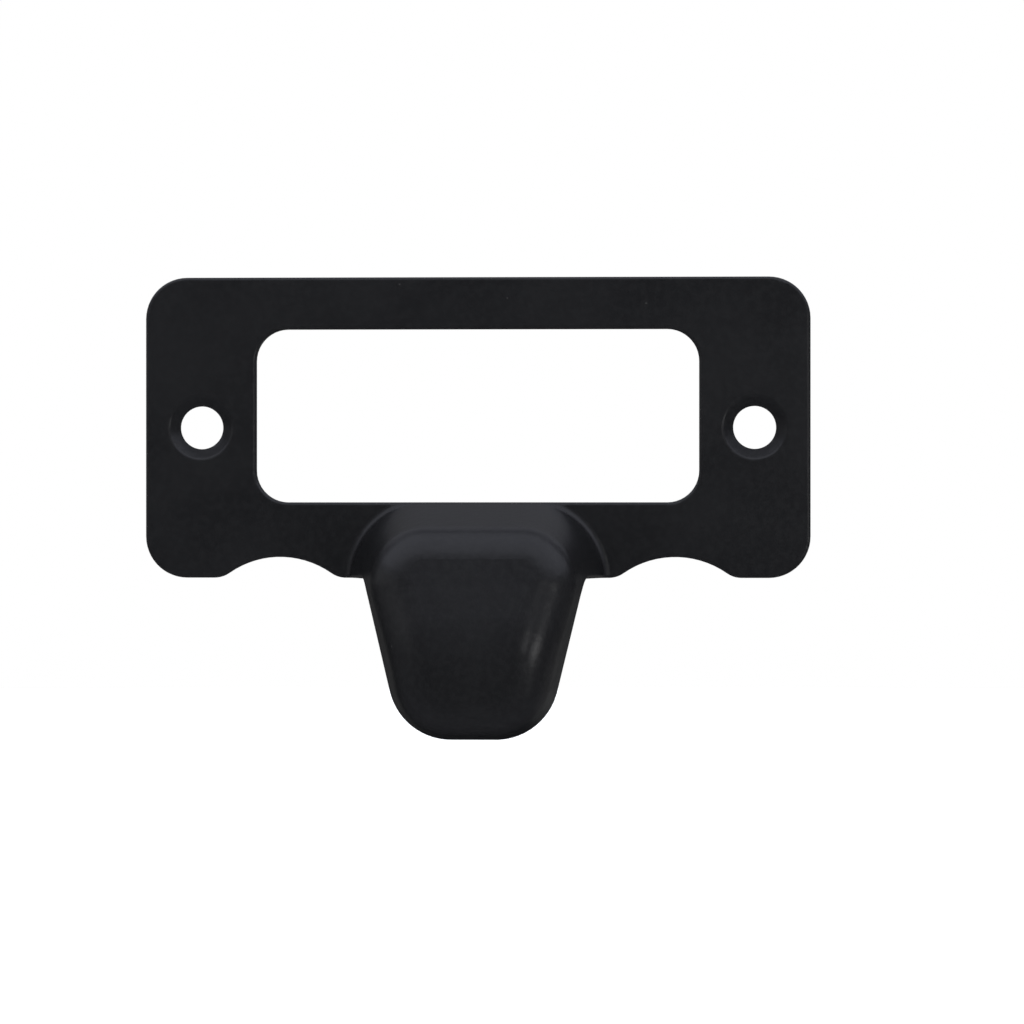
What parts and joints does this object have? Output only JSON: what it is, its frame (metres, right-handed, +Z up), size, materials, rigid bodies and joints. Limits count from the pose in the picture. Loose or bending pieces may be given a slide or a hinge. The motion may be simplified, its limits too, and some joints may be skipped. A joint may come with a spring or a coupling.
{
  "type": "label frame pull",
  "caption": "Flat rectangular label frame with a card window, countersunk screw holes and a hollow tapering finger pull pressed out below the window, in black painted sheet metal.",
  "frame": {"origin": "on the back face, midway between the two screw holes", "axes": "+X to the right along the line of the screw holes, +Z up, and the front of the plate faces -Y"},
  "size_m": [0.048, 0.0103, 0.0331],
  "materials": {
    "black_paint": "satin"
  },
  "bodies": {
    "root": {"label_frame_pull": "black_paint"}
  },
  "joints": []
}
